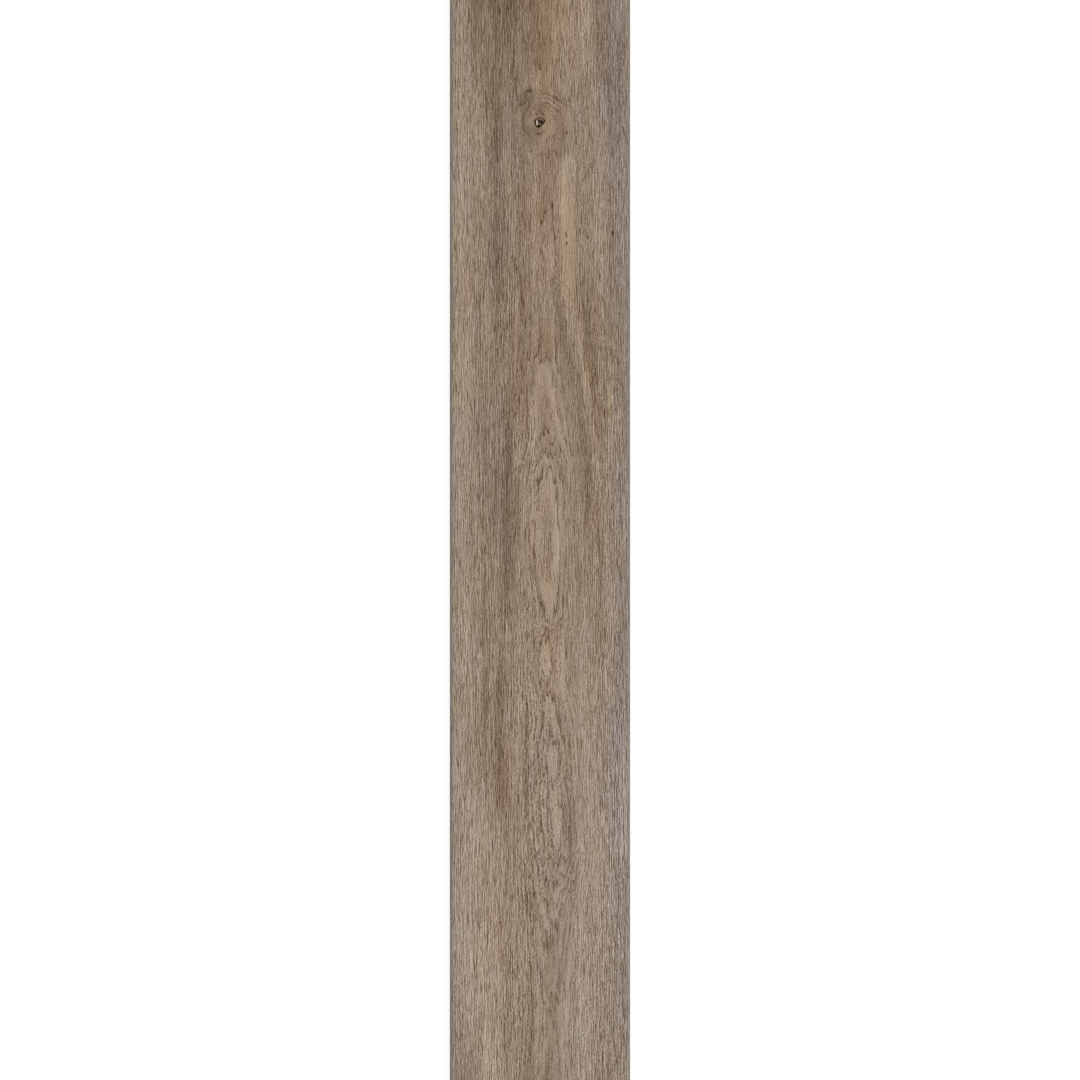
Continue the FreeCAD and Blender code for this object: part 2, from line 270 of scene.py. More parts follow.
# Small dark spots of the print: (share, middle as (across, along), reach each way)
SPOTS = {
    "right_head_spot": (1.2, (80.6, 340.6), (1.4, 2.8)),
    "by_stripe_spot": (1.1, (52.8, 335.6), (1.3, 1.7)),
    "stripe_edge_spot": (0.6, (43.9, 342.8), (0.9, 3.6)),
    "stripe_smudge": (0.5, (28.9, 338.9), (1.7, 3.6)),
    "stripe_low_smudge": (0.65, (29.4, 328.9), (1.5, 2.3)),
    "left_of_stripe_spot": (0.5, (17.2, 335.6), (0.9, 2.7)),
    "heart_spot": (0.7, (1.7, 352.2), (1.4, 3.2)),
    "high_heart_spot": (0.7, (5.6, 363.4), (1.1, 2.7)),
    "by_eye_spot": (0.8, (29.6, 451.8), (1.4, 1.8)),
    "over_eye_spot": (0.6, (-11.7, 498.0), (3.4, 2.2)),
}
# The print's level without its parts, in levels of 255, and each part's weight in the level
BASE_LEVEL = 9.6
PART_LEVELS = {
    "shade": 1.38, "lines": 1.02, "dots": 1.0, "streak": 1.0, "dark_start": 1.0, "smooth": 7.0,
    "pores": -34.0, "tint": 8.0, "groove": -4.0, "spots": -60.0, "hooks": -26.0,
}


def printed(red, green, blue):
    """A colour read in levels of 255, as the linear colour that a shader takes, by the sRGB curve."""
    shares = np.array([red, green, blue]) / 255
    return tuple(np.where(shares > 0.04045, ((shares + 0.055) / 1.055) ** 2.4, shares / 12.92))


class PlankSizes(PropertyGroup):
    """The pressed slab, with a bevel a little softer than the CAD solid's, and its mesh's fineness."""

    bevel_width: FloatProperty(
        name="Bevel width", description="Face bevel, measured across the face", default=0.0032, unit="LENGTH")
    bevel_drop: FloatProperty(
        name="Bevel drop", description="Face bevel, measured down the wall", default=0.001, unit="LENGTH")
    back_arris: FloatProperty(
        name="Back arris", description="Arris between wall and back", default=0.001, unit="LENGTH")
    rim_width: FloatProperty(
        name="Rim width", description="Plain rim around the back recess", default=0.010, unit="LENGTH")
    key_depth: FloatProperty(
        name="Key depth", description="Depth of the back recess between the ribs", default=0.0005,
        unit="LENGTH")
    rib_crest: FloatProperty(
        name="Rib crest", description="Width of a rib's foot", default=0.0025, unit="LENGTH")
    rib_flank: FloatProperty(
        name="Rib flank", description="Run of a rib's sloping flank", default=0.0006, unit="LENGTH")
    lengthwise_ribs: IntProperty(
        name="Lengthwise ribs", description="Ribs that run along the plank", default=7, min=1)
    crosswise_ribs: IntProperty(
        name="Crosswise ribs", description="Ribs that run across the plank", default=23, min=1)
    grain_depth: FloatProperty(
        name="Grain depth", description="Deepest groove of the pressed grain", default=0.0001, unit="LENGTH")
    knot_depth: FloatProperty(
        name="Knot depth", description="Dimple at the knot", default=0.00035, unit="LENGTH")
    face_columns: IntProperty(
        name="Face columns", description="Mesh cells across the face", default=220, min=8)
    face_rows: IntProperty(
        name="Face rows", description="Mesh cells along the face", default=378, min=8)


class OakGrowth(PropertyGroup):
    """The tree that the print shows: its growth rings and its knot."""

    ring_width: FloatProperty(
        name="Ring width", description="One year's growth", default=0.0026, unit="LENGTH")
    knot_across: FloatProperty(
        name="Knot across", description="Knot's place across the face", default=-0.0001, unit="LENGTH")
    knot_along: FloatProperty(
        name="Knot along", description="Knot's place along the face", default=0.4632, unit="LENGTH")
    knot_radius: FloatProperty(
        name="Knot radius", description="Dark core of the knot", default=0.006, unit="LENGTH")
    eye_radius: FloatProperty(
        name="Eye radius", description="Reach of the rings that close round the knot", default=0.031,
        unit="LENGTH")


class PlankColours(PropertyGroup):
    """Colours of the print and of the fired body."""

    pore: FloatVectorProperty(
        name="Pore", description="Deepest pores", default=printed(81, 60, 42), subtype="COLOR")
    dark_grain: FloatVectorProperty(
        name="Dark grain", description="Early wood", default=printed(110, 90, 71), subtype="COLOR")
    mid_grain: FloatVectorProperty(
        name="Mid grain", description="Main colour of the print", default=printed(141, 122, 105),
        subtype="COLOR")
    pale_grain: FloatVectorProperty(
        name="Pale grain", description="Late wood", default=printed(173, 156, 139), subtype="COLOR")
    fleck: FloatVectorProperty(
        name="Fleck", description="Palest fibres", default=printed(200, 187, 172), subtype="COLOR")
    knot_core: FloatVectorProperty(
        name="Knot core", description="Dark wood of the knot", default=printed(14, 3, 0), subtype="COLOR")
    knot_brown: FloatVectorProperty(
        name="Knot brown", description="Rim of the knot", default=printed(50, 28, 8), subtype="COLOR")
    # Grey wash on the long bevels, darker than the print: partly a glaze colour and partly painted shade of
    # the bevels
    bevel_wash_and_shade: FloatVectorProperty(
        name="Edge wash", description="Thin grey glaze on the long bevels", default=printed(128, 119, 113),
        subtype="COLOR")
    clay: FloatVectorProperty(
        name="Clay", description="Unglazed porcelain body", default=printed(190, 180, 167), subtype="COLOR")
    clay_speck: FloatVectorProperty(
        name="Clay speck", description="Darker grains in the body", default=printed(150, 138, 124),
        subtype="COLOR")


class StudioSettings(PropertyGroup):
    """Camera and light."""

    lens: FloatProperty(
        name="Lens", description="Camera lens in millimetres", default=100.0)
    key_height: FloatProperty(
        name="Key height", description="Key light above the horizon", default=math.radians(48),
        subtype="ANGLE")
    key_spread: FloatProperty(
        name="Key spread", description="How wide the key light is", default=math.radians(30), subtype="ANGLE")
    key_share: FloatProperty(
        name="Key share", description="Part of the face's light that the key gives", default=0.55,
        subtype="FACTOR", min=0, max=1)
    floor_shade: FloatProperty(
        name="Floor shade", description="Part of the white floor that takes shadows", default=0.12,
        subtype="FACTOR", min=0, max=1)
    floor_size: FloatProperty(
        name="Floor size", description="Side of the floor", default=24.0, unit="LENGTH")


# Curves and noise

def curve_through(points, places):
    """Heights at the places of a smooth curve through the points: a cubic in each gap. Its slope at a point
    is the harmonic mean of the straight slopes on both sides, and nought at a peak, a dip or an end, so that
    the curve never passes the points' own heights."""
    at, heights = (np.array(part, float) for part in zip(*sorted(points)))
    straight = np.diff(heights) / np.diff(at)
    before, after = straight[:-1], straight[1:]
    steady = before * after > 0
    slopes = np.zeros(len(at))
    slopes[1:-1] = np.where(steady, 2 * before * after / np.where(steady, before + after, 1), 0)
    places = np.clip(places, at[0], at[-1])
    left = np.clip(np.searchsorted(at, places) - 1, 0, len(at) - 2)
    gap = at[left + 1] - at[left]
    share = (places - at[left]) / gap
    rise = heights[left + 1] - heights[left]
    start, end = slopes[left] * gap, slopes[left + 1] * gap
    bend = 3 * rise - 2 * start - end + share * (start + end - 2 * rise)
    return heights[left] + share * (start + share * bend)


def ease(low, high, values):
    """Nought below low, one above high, and between them the smooth step 3t^2 - 2t^3."""
    share = np.clip((values - low) / (high - low), 0, 1)
    return share ** 2 * (3 - 2 * share)


def streaks(across, along, width, length, seed):
    """Noise from -1 to 1 in cells of width by length: a random height at each corner of a cell, and inside
    it the smooth step's blend of the four corners."""
    table = 256
    heights = np.random.default_rng(seed).uniform(-1, 1, (table, table))
    across, along = across / width + table / 2, along / length + table / 2
    column, row = np.floor(across).astype(int), np.floor(along).astype(int)
    right, up = ease(0, 1, across - column), ease(0, 1, along - row)

    def corner(step_across, step_along):
        return heights[(column + step_across) % table, (row + step_along) % table]

    lower = corner(0, 0) * (1 - right) + corner(1, 0) * right
    upper = corner(0, 1) * (1 - right) + corner(1, 1) * right
    return lower * (1 - up) + upper * up


def streak_sum(across, along, layers):
    """Sum of layers of streaks, each given as (height, cell width, cell length, seed)."""
    return sum(height * streaks(across, along, *cell_and_seed) for height, *cell_and_seed in layers)


# The printed oak

def from_knot(growth, across, along):
    """Distance across and along from the knot's middle, in millimetres."""
    return across - growth.knot_across / MM, along - growth.knot_along / MM


def growth_rings(growth, across, along):
    """Years of growth at each place of the face, from the end of the middle island's ring. The face cuts
    rings round a heart that lies under it, so the radius is the root of the squared distance from the heart
    line plus the squared depth. Near the knot the distance along from it counts too, under a flat topped
    bell, so that rings close round the knot. Fingers along the fibres fray the figure's tips, and long
    uneven streaks shift the rings away from the heart. The young rings inside the island's are wider."""
    from_heart = across - curve_through(HEART_LINE, along)
    fingers = streak_sum(across, along, [(9, 2.4, 60, 4), (4, 1.3, 15, 5)])
    knot_x, knot_y = from_knot(growth, across, along)
    lopsided = streak_sum(knot_x, knot_y, [(4, 13, 13, 6)])
    eye = np.exp(-((np.hypot(knot_x, knot_y) + lopsided) / (growth.eye_radius / MM)) ** 4)
    aside_squared = from_heart ** 2 + eye * knot_y ** 2
    radius = np.sqrt(aside_squared + curve_through(HEART_DEPTH, along + fingers) ** 2)
    uneven = streak_sum(across, along, [(0.9, 14, 120, 2), (0.7, 4, 22, 1), (0.5, 2.2, 14, 3)])
    calm_share, calm_reach = 0.15, 24.0
    uneven = uneven * (1 - calm_share * np.exp(-(from_heart / calm_reach) ** 2))
    outside = radius + uneven - ISLAND_RING
    youth = 1.7
    return np.where(outside > 0, outside, outside / youth) / (growth.ring_width / MM)


def grain_across(growth, across, along):
    """Place across the fibres, which is constant along a fibre. It is the place across the face, stretched
    near the heart where the heart lies deeper, so that fibres bow out round an island, and squeezed near
    the knot, so that they part round it."""
    line, depth = curve_through(HEART_LINE, along), curve_through(HEART_DEPTH, along)
    from_heart = across - line
    mean_depth, reach = 36.0, 28.0
    near = np.exp(-(from_heart / reach) ** 2)
    flow = from_heart * (1 + near * (depth / mean_depth - 1)) + line * (1 - near)
    knot_x, knot_y = from_knot(growth, across, along)
    squeeze, knot_reach_across, knot_reach_along = 0.6, 18.0, 24.0
    bell = np.exp(-(knot_x / knot_reach_across) ** 2 - (knot_y / knot_reach_along) ** 2)
    return flow - squeeze * knot_x * bell


def painted(strokes, across, along):
    """Sum of the strokes. Each is a bell across its path, flat topped if it is crisp, and is eased in and out
    towards its two ends. A wobble of streaks makes its sides uneven."""
    wobble = streak_sum(across, along, [(2.5, 9, 60, 31), (0.5, 2, 16, 32)])
    fade = 0.3
    total = np.zeros(across.shape)
    for level, half_width, edge, path in strokes.values():
        foot, head = min(path)[0], max(path)[0]
        share = (along - foot) / (head - foot)
        strength = ease(0, fade, share) * ease(0, fade, 1 - share)
        aside = np.abs(across + wobble - curve_through(path, along)) / half_width
        total += level * strength * np.exp(-aside ** edge)
    return total


def eye_arcs(growth, across, along):
    """Sum of the arcs over the knot. Each is a bell across its radius and a flat topped bell round its middle
    angle. Radii are measured in an ellipse a little wider than high, made uneven by noise."""
    squash = 1.15
    knot_x, knot_y = from_knot(growth, across, along)
    radius = np.hypot(knot_x / squash, knot_y) + streak_sum(across, along, [(1.4, 5, 9, 33)])
    angle = np.degrees(np.arctan2(knot_y, knot_x / squash))
    total = np.zeros(across.shape)
    for level, middle_radius, half_width, middle_angle, half_angle in EYE_ARCS:
        off_radius, off_angle = (radius - middle_radius) / half_width, (angle - middle_angle) / half_angle
        total += level * np.exp(-off_radius ** 2 - off_angle ** 4)
    return total


def pressed_grain(rings, flow, from_heart, along):
    """Depth of the pressed grain, from 0 to 1: fine and broad grooves along the fibres, as smooth steps of
    streaks, with a row of pores at the start of each year where the heart is near enough for the mould to
    show it."""
    fine = ease(-0.2, 0.9, streaks(flow, along, 2.6, 34, 51))
    broad = ease(0.0, 0.9, streaks(flow, along, 5.5, 80, 52))
    fine_share, broad_share, brushed_depth, row_depth = 0.6, 0.4, 0.75, 0.5
    row_start, row_end, row_reach = 0.02, 0.34, 34.0
    brushed = fine * fine_share + broad * broad_share
    row = 1 - ease(row_start, row_end, rings - np.floor(rings))
    near_heart = np.exp(-(from_heart / row_reach) ** 2)
    return np.clip(brushed_depth * brushed + row_depth * row * near_heart, 0, 1)


# The slab's mesh

def grid_lines(*stretches):
    """Places along one axis: each stretch runs from its start to its end in equal cells."""
    runs = [np.linspace(start, end, cells + 1) for start, end, cells in stretches]
    return np.concatenate([runs[0]] + [run[1:] for run in runs[1:]])


def face_lines(sizes, growth):
    """Columns and rows of the face. The bevels have fine cells, and so have the rows past the knot."""
    bevel_cells, knot_cells, knot_reach = 8, 76, 0.042
    inner_x, inner_y = HALF_WIDTH - sizes.bevel_width, HALF_LENGTH - sizes.bevel_width
    below, above = growth.knot_along - knot_reach, growth.knot_along + knot_reach
    plain = sizes.face_rows - knot_cells
    plain_below = round(plain * (below + inner_y) / (2 * inner_y - 2 * knot_reach))
    columns = grid_lines((-HALF_WIDTH, -inner_x, bevel_cells), (-inner_x, inner_x, sizes.face_columns),
                         (inner_x, HALF_WIDTH, bevel_cells))
    rows = grid_lines((-HALF_LENGTH, -inner_y, bevel_cells), (-inner_y, below, plain_below),
                      (below, above, knot_cells), (above, inner_y, plain - plain_below),
                      (inner_y, HALF_LENGTH, bevel_cells))
    return columns, rows


def bevel_fall(sizes, inset):
    """Fall of the face at a distance in from the outline: a nearly straight bevel, steepest at the wall,
    which eases into the face as a power of the distance left to run."""
    roundness = 1.25
    return sizes.bevel_drop * np.clip(1 - inset / sizes.bevel_width, 0, 1) ** roundness


def face_surface(sizes, growth, columns, rows):
    """The face over the grid of columns and rows: the larger of the two bevels' falls, less the pressed
    grain and a bell shaped dimple at the knot, both of which end at the outline."""
    x, y = np.meshgrid(columns, rows)
    across, along = x / MM, y / MM
    rings, flow = growth_rings(growth, across, along), grain_across(growth, across, along)
    groove = pressed_grain(rings, flow, across - curve_through(HEART_LINE, along), along)
    knot_x, knot_y = from_knot(growth, across, along)
    dimple = np.exp(-(knot_x ** 2 + knot_y ** 2) / (growth.knot_radius / MM) ** 2)
    inset = np.minimum(HALF_WIDTH - np.abs(x), HALF_LENGTH - np.abs(y))
    fall = np.maximum(bevel_fall(sizes, HALF_WIDTH - np.abs(x)), bevel_fall(sizes, HALF_LENGTH - np.abs(y)))
    kept = ease(0, sizes.bevel_width, inset)
    relief = sizes.grain_depth * groove * (1 - dimple) + sizes.knot_depth * dimple
    z = FACE_HEIGHT - fall - kept * relief
    return np.stack([x, y, z], axis=-1)


def rib_lines(half_field, ribs, sizes):
    """Where a set of ribs and the recess side turn: both edges of each foot and each root."""
    cell = 2 * half_field / (ribs + 1)
    middles = cell * np.arange(1, ribs + 1) - half_field
    foot = sizes.rib_crest / 2
    root = foot + sizes.rib_flank
    turns = middles[:, None] + np.array([-root, -foot, foot, root])
    sides = np.array([-half_field, sizes.rib_flank - half_field, half_field - sizes.rib_flank, half_field])
    return np.sort(np.concatenate([turns.ravel(), sides])), middles


def key_height(places, half_field, middles, sizes):
    """Height of the back over one axis: nought on a rib's foot and at the recess mouth, rising along the
    flank to the recess floor."""
    off_rib = np.abs(places[:, None] - middles).min(axis=1) - sizes.rib_crest / 2
    off_mouth = half_field - np.abs(places)
    return sizes.key_depth * np.clip(np.minimum(off_rib, off_mouth) / sizes.rib_flank, 0, 1)


def back_surface(sizes):
    """The keyed back inside its rim: the lower of the two sets of ribs at each place."""
    field_x, field_y = HALF_WIDTH - sizes.rim_width, HALF_LENGTH - sizes.rim_width
    columns, middles_x = rib_lines(field_x, sizes.lengthwise_ribs, sizes)
    rows, middles_y = rib_lines(field_y, sizes.crosswise_ribs, sizes)
    x, y = np.meshgrid(columns, rows)
    z = np.minimum(key_height(columns, field_x, middles_x, sizes),
                   key_height(rows, field_y, middles_y, sizes)[:, None])
    return np.stack([x, y, z], axis=-1)


def grid_quads(shape, first):
    """Faces of a grid whose vertices are numbered from first, row by row, seen from above."""
    numbers = first + np.arange(shape[0] * shape[1]).reshape(shape[:2])
    corners = [numbers[:-1, :-1], numbers[:-1, 1:], numbers[1:, 1:], numbers[1:, :-1]]
    return np.stack(corners, axis=-1).reshape(-1, 4)


def outline_loop(surface, first):
    """Vertex numbers once round a grid's outline, and each one's place: the side's number plus its share."""
    numbers = first + np.arange(surface.shape[0] * surface.shape[1]).reshape(surface.shape[:2])
    x, y = surface[0, :, 0], surface[:, 0, 1]
    right, up = (x - x[0]) / (x[-1] - x[0]), (y - y[0]) / (y[-1] - y[0])
    loop = np.concatenate([numbers[0, :-1], numbers[:-1, -1], numbers[-1, :0:-1], numbers[:0:-1, 0]])
    places = np.concatenate([right[:-1], 1 + up[:-1], 3 - right[:0:-1], 4 - up[:0:-1]])
    return loop, places


def band_quads(upper, lower):
    """Faces of a closed band between two loops with as many vertices, seen from outside."""
    return np.stack([upper, lower, np.roll(lower, -1), np.roll(upper, -1)], axis=-1)


def strip_triangles(outer, outer_places, inner, inner_places):
    """Faces between two loops with different spacing, seen from below. Both loops are walked together: at
    each step the one whose next vertex comes first moves on, and the step's triangle is closed."""
    sides = 4.0
    nexts = np.concatenate([outer_places[1:], [sides], inner_places[1:], [sides]])
    moves_outer = np.arange(len(nexts)) < len(outer)
    outer_step = moves_outer[np.argsort(nexts, kind="stable")]
    at_outer = np.cumsum(outer_step) - outer_step
    at_inner = np.cumsum(~outer_step) - ~outer_step
    after = np.where(outer_step, np.roll(outer, -1)[at_outer % len(outer)],
                     np.roll(inner, -1)[at_inner % len(inner)])
    return np.stack([outer[at_outer % len(outer)], inner[at_inner % len(inner)], after], axis=-1)


def bake_places(points, face_count, band_places, back_count):
    """Map places for each face corner, in the order face, bands, back: the face fills most of the map, the
    back stands beside it, and each side's wall and arris are upright strips."""
    edge, face_right, back_left, back_right, strip_left, strip = 0.004, 0.780, 0.788, 0.930, 0.937, 0.0155
    wall_share, arris_share, sides = (0.0, 0.6), (0.66, 0.88), 4.0
    along = edge + (1 - 2 * edge) * (points[:, 1] + HALF_LENGTH) / (2 * HALF_LENGTH)
    across = (points[:, 0] + HALF_WIDTH) / (2 * HALF_WIDTH)
    face = np.stack([edge + (face_right - edge) * across, along], axis=-1)[:face_count]
    back = np.stack([back_right - (back_right - back_left) * across, along], axis=-1)[-back_count:]
    side = np.floor(band_places)
    ends = np.append(band_places[1:], sides)
    start, end = (edge + (1 - 2 * edge) * (places - side) for places in (band_places, ends))
    bands = []
    for shares in (wall_share, arris_share):
        low, high = (strip_left + strip * (side + share) for share in shares)
        corners = [(low, start), (high, start), (high, end), (low, end)]
        bands.append(np.stack([np.stack(corner, axis=-1) for corner in corners], axis=1).reshape(-1, 2))
    return np.concatenate([face, *bands, back])


def fill_mesh(mesh, vertices, quads, triangles):
    """Puts vertices and faces into an empty mesh, all quads before all triangles."""
    corners = np.concatenate([quads.ravel(), triangles.ravel()])
    starts = np.concatenate([4 * np.arange(len(quads)), quads.size + 3 * np.arange(len(triangles))])
    mesh.vertices.add(len(vertices))
    mesh.vertices.foreach_set("co", vertices.astype(np.float32).ravel())
    mesh.loops.add(len(corners))
    mesh.loops.foreach_set("vertex_index", corners.astype(np.int32))
    mesh.polygons.add(len(starts))
    mesh.polygons.foreach_set("loop_start", starts.astype(np.int32))
    return corners


def give_values(mesh, name, values):
    """Stores one number, or one vector, for each vertex."""
    kind, key = ("FLOAT", "value") if values.ndim == 1 else ("FLOAT_VECTOR", "vector")
    mesh.attributes.new(name, kind, "POINT").data.foreach_set(key, values.astype(np.float32).ravel())


def print_values(mesh, growth, points, from_outline):
    """Stores what the print follows at each vertex. Rings and fibres are the growth's own measures, shade,
    warmth and calm are sums of strokes, and groove is the pressed grain. Heart, figure and hooks are bells
    across the heart line, each with its own strength along it, and eye and mottle are flat topped bells round
    the knot. Long share and comb are the fibres' strengths, which change over the face. The bevel wash, a
    grey wash that is partly painted shade of the long bevels, goes from one at a long edge to nought past its
    bevel."""
    across, along = points[:, 0] / MM, points[:, 1] / MM
    right, up = points[:, 0] / HALF_WIDTH, points[:, 1] / HALF_LENGTH
    from_heart = across - curve_through(HEART_LINE, along)
    knot_x, knot_y = from_knot(growth, across, along)
    rings, flow = growth_rings(growth, across, along), grain_across(growth, across, along)

    heart_reach, hook_reach, eye_reach = 34.0, 30.0, 29.0
    figure_start, figure_end, left_at_head = 215.0, 290.0, 0.25
    near_heart = np.exp(-(from_heart / heart_reach) ** 2)
    heart = near_heart * (1 - (1 - left_at_head) * ease(figure_start, figure_end, along))
    near_hooks = np.exp(-(from_heart / hook_reach) ** 4)
    mottle_across, mottle_along = 36.0, 46.0
    mottle = np.exp(-((knot_x / mottle_across) ** 2 + (knot_y / mottle_along) ** 2) ** 2)

    side_start, side_end, end_start, end_end = 0.1, 0.5, 0.2, 0.6
    right_side = ease(side_start, side_end, right)
    right_head, right_foot = (right_side * ease(end_start, end_end, share) for share in (up, -up))
    heart_loss, mottle_loss, head_loss = 0.55, 0.75, 0.25
    long_share = (1 - heart_loss * heart) * (1 - mottle_loss * mottle) * (1 - head_loss * right_head)
    up_gain, right_gain, foot_gain, heart_gain = -0.13, 0.08, 0.12, 0.05
    comb = 1 + up_gain * up + right_gain * right + foot_gain * right_foot + heart_gain * heart
    # Where the grey wash of the long bevels, partly painted shade, fades out past the bevel
    wash_and_shade_start, wash_and_shade_end = 0.0012, 0.0048
    values = {
        "rings": rings,
        "fibres": np.stack([flow, along, np.zeros_like(along)], axis=-1),
        "shade": painted(SHADE_STROKES, across, along) + eye_arcs(growth, across, along),
        "warmth": painted(WARMTH_STROKES, across, along),
        "calm": painted(CALM_STROKES, across, along),
        "groove": pressed_grain(rings, flow, from_heart, along),
        "heart": heart,
        "figure": near_heart * curve_through(FIGURE_SHARE, along),
        "hooks": near_hooks * curve_through(HOOK_SHARE, along),
        "eye": np.exp(-((knot_x ** 2 + knot_y ** 2) / eye_reach ** 2) ** 2),
        "mottle": mottle,
        "long_share": long_share,
        "comb": comb,
        "bevel_wash_and_shade": 1 - ease(wash_and_shade_start, wash_and_shade_end, from_outline),
    }
    for name, numbers in values.items():
        give_values(mesh, name, numbers)


def plank_mesh(sizes, growth):
    """The whole closed slab: grained face, wall, arris, rim and keyed back."""
    face = face_surface(sizes, growth, *face_lines(sizes, growth))
    back = back_surface(sizes)
    face_points, back_points = face.reshape(-1, 3), back.reshape(-1, 3)
    head, places = outline_loop(face, 0)
    around = face_points[head]
    foot_points = around * (1, 1, 0) + (0, 0, sizes.back_arris)
    drawn_in = (1 - sizes.back_arris / HALF_WIDTH, 1 - sizes.back_arris / HALF_LENGTH, 0)
    arris_points = around * drawn_in
    foot = len(face_points) + np.arange(len(head))
    arris = foot + len(head)
    back_first = len(face_points) + 2 * len(head)
    mouth, mouth_places = outline_loop(back, back_first)

    vertices = np.concatenate([face_points, foot_points, arris_points, back_points])
    face_quads = grid_quads(face.shape, 0)
    bands = np.concatenate([band_quads(head, foot), band_quads(foot, arris)])
    back_quads = grid_quads(back.shape, back_first)[:, ::-1]
    rim = strip_triangles(arris, places, mouth, mouth_places)
    quads = np.concatenate([face_quads, bands, back_quads])

    mesh = bpy.data.meshes.new("grained_plank")
    corners = fill_mesh(mesh, vertices, quads, rim)
    glazed = np.arange(len(quads) + len(rim)) < len(face_quads)
    mesh.polygons.foreach_set("use_smooth", glazed)
    mesh.polygons.foreach_set("material_index", np.where(glazed, 0, 1).astype(np.int32))
    mesh.update(calc_edges=True)
    back_corners = back_quads.size + rim.size
    uv = bake_places(vertices[corners], face_quads.size, places, back_corners)
    mesh.uv_layers.new(name="OFBake").data.foreach_set("uv", uv.astype(np.float32).ravel())
    print_values(mesh, growth, vertices, HALF_WIDTH - np.abs(vertices[:, 0]))
    if mesh.validate():
        raise RuntimeError("the plank's mesh had faults")
    return mesh


# Finishes

class Finish:
    """The nodes of a material or a world, with one short call for each kind of node that the finishes use."""

    def __init__(self, owner):
        owner.use_nodes = True
        self.owner = owner
        self.tree = owner.node_tree
        self.tree.nodes.clear()

    def add(self, kind, inputs, **settings):
        """A node with its settings. Each input is linked to a socket, or set to a plain value."""
        node = self.tree.nodes.new(kind)
        for name, value in settings.items():
            setattr(node, name, value)
        for name, value in inputs.items():
            if isinstance(value, NodeSocket):
                self.tree.links.new(value, node.inputs[name])
            else:
                node.inputs[name].default_value = value
        return node

    def math(self, operation, *values):
        """The operation's result on numbers."""
        return self.add("ShaderNodeMath", dict(enumerate(values)), operation=operation).outputs[0]

    def vector_math(self, operation, *values):
        """The operation's outputs on vectors: a vector first, then a number by the name of Value."""
        return self.add("ShaderNodeVectorMath", dict(enumerate(values)), operation=operation).outputs

    def value(self, name):
        """The number of that name that the mesh stores at each vertex."""
        return self.add("ShaderNodeAttribute", {}, attribute_name=name).outputs["Fac"]

    def vector(self, name):
        """The vector of that name that the mesh stores at each vertex."""
        return self.add("ShaderNodeAttribute", {}, attribute_name=name).outputs["Vector"]

    def object_place(self):
        """The place in the object's own frame, in metres."""
        return self.add("ShaderNodeTexCoord", {}).outputs["Object"]

    def noise(self, place, cell, seed, detail=0.0, dimensions="2D"):
        """Noise from 0 to 1, about a half, in cells of the given size. Each seed shifts the cells' grid, and
        turns it the more the longer its cells are, one way for an even seed and the other way for an odd
        one, so that the cells of neighbouring fibres don't line up."""
        shift, turn_share, most_turn = (11.3, 5.7, 3.1), 0.01, 0.4
        turn = min(most_turn, turn_share * cell[1] / cell[0]) * (-1) ** seed
        inputs = {"Vector": place, "Location": tuple(seed * side for side in shift),
                  "Rotation": (0.0, 0.0, turn), "Scale": tuple(1 / side for side in cell)}
        cells = self.add("ShaderNodeMapping", inputs).outputs[0]
        inputs = {"Vector": cells, "Scale": 1.0, "Detail": detail}
        return self.add("ShaderNodeTexNoise", inputs, noise_dimensions=dimensions).outputs[0]

    def layered(self, place, layers, seed):
        """Noise about nought: the sum of layers of (cell across, cell along, weight)."""
        terms = [(self.noise(place, (across, along, 1.0), seed + number), weight)
                 for number, (across, along, weight) in enumerate(layers)]
        return self.total(-0.5 * sum(weight for *cell, weight in layers), *terms)

    def step(self, value, start, end, low=0.0, high=1.0):
        """A smooth step from low to high as the value goes from start to end."""
        inputs = {0: value, 1: start, 2: end, 3: low, 4: high}
        return self.add("ShaderNodeMapRange", inputs, interpolation_type="SMOOTHSTEP").outputs[0]

    def total(self, first, *terms):
        """The first value plus each term's value times its weight."""
        for value, weight in terms:
            first = self.math("MULTIPLY_ADD", value, weight, first)
        return first

    def mix(self, share, first, second, blend="MIX"):
        """The first colour, blended with the second by the share, which is kept from 0 to 1."""
        node = self.add("ShaderNodeMix", {0: share, 6: first, 7: second}, data_type="RGBA", blend_type=blend)
        return node.outputs[2]

    def ramp(self, value, colours):
        """A colour for each value from 0 to 1, between colours at equal steps."""
        node = self.add("ShaderNodeValToRGB", {0: value})
        marks = node.color_ramp.elements
        while len(marks) < len(colours):
            marks.new(1.0)
        for number, colour in enumerate(colours):
            marks[number].position = number / (len(colours) - 1)
            marks[number].color = (*colour, 1)
        return node.outputs[0]

    def surface(self, inputs):
        """The finished material: one principled shader with the inputs."""
        shader = self.add("ShaderNodeBsdfPrincipled", inputs)
        self.add("ShaderNodeOutputMaterial", {"Surface": shader.outputs[0]})
        return self.owner


def spot(finish, place, middle, reach):
    """One inside an ellipse, given by its middle and its reach each way, and nought outside it: a smooth step
    of the distance from the middle, measured in reaches."""
    edge_start, edge_end = 0.7, 1.25
    offset = finish.vector_math("SUBTRACT", place, (*middle, 0.0))[0]
    scaled = finish.vector_math("MULTIPLY", offset, (1 / reach[0], 1 / reach[1], 0.0))[0]
    distance = finish.vector_math("LENGTH", scaled)["Value"]
    return finish.step(distance, edge_start, edge_end, 1.0, 0.0)


def dark_spots(finish):
    """Sum of the print's small spots, each at its own share."""
    place = finish.object_place()
    total = 0.0
    for share, middle, reach in SPOTS.values():
        mark = spot(finish, place, [MM * side for side in middle], [MM * side for side in reach])
        total = finish.total(total, (mark, share))
    return total


